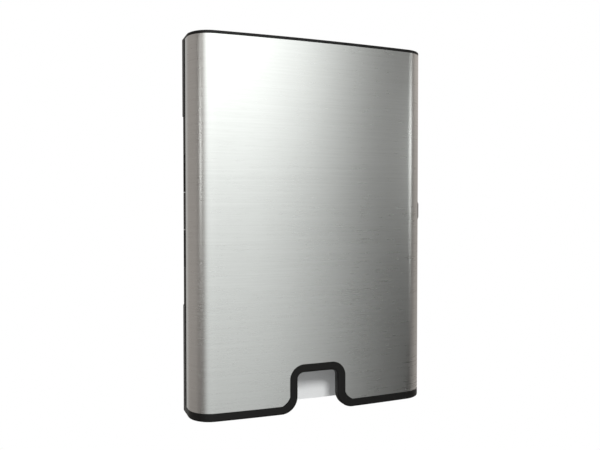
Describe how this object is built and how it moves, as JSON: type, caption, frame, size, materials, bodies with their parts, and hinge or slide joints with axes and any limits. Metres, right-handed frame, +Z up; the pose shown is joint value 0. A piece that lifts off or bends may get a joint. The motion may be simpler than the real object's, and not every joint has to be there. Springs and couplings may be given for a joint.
{
  "type": "paper towel dispenser",
  "caption": "Slim wall dispenser for folded paper towels: brushed steel door on a side hinge, black trim, hand notch, inner tray, stack guides and a quarter-turn lock.",
  "frame": {"origin": "on the wall plane, in the middle of the four wall fixing holes, which is also the middle of the housing's back", "axes": "+X to the right seen from the front, +Y into the wall, +Z up; the front of the door faces -Y"},
  "size_m": [0.3064, 0.102, 0.444],
  "materials": {
    "brushed_steel": "horizontally brushed stainless steel",
    "black_plastic": "black moulded plastic, half gloss",
    "housing_plastic": "black moulded plastic, fine matt grain",
    "inner_plastic": "dark grey moulded plastic",
    "paper": "white embossed paper",
    "dark_steel": "black coated steel",
    "plain_steel": "plain zinc-plated steel",
    "screw_steel": "plated steel screws",
    "lock_metal": "turned metal lock plug"
  },
  "bodies": {
    "housing": {"wall_housing": "housing_plastic", "towel_tray": "inner_plastic", "right_stack_guide": "inner_plastic", "left_stack_guide": "inner_plastic", "towel_stack": "paper", "hanging_towel": "paper", "hinge_leaf": "dark_steel", "hinge_pin": "plain_steel", "keeper_plate": "plain_steel", "keeper_pin": "plain_steel", "tray_screws": "screw_steel", "guide_screws": "screw_steel", "hinge_screws": "screw_steel", "keeper_screws": "screw_steel"},
    "door": {"door_frame": "black_plastic", "steel_front": "brushed_steel", "top_cap": "black_plastic", "bottom_trim": "black_plastic", "cap_screws": "screw_steel", "trim_screws": "screw_steel", "lock_escutcheon": "black_plastic", "lock_nut": "plain_steel"},
    "lock": {"lock_plug": "lock_metal", "lock_hook": "plain_steel", "lock_screw": "screw_steel"}
  },
  "joints": [
    {"name": "door_swing", "type": "hinge", "parent": "housing", "child": "door", "pos_m": [-0.1456, -0.0491, 0.0185], "axis": [0, 0, -1], "range_deg": [0, 110]},
    {"name": "lock_turn", "type": "hinge", "parent": "door", "child": "lock", "pos_m": [0.14, -0.069, 0.0188], "axis": [-1, 0, 0], "range_deg": [0, 90]}
  ]
}
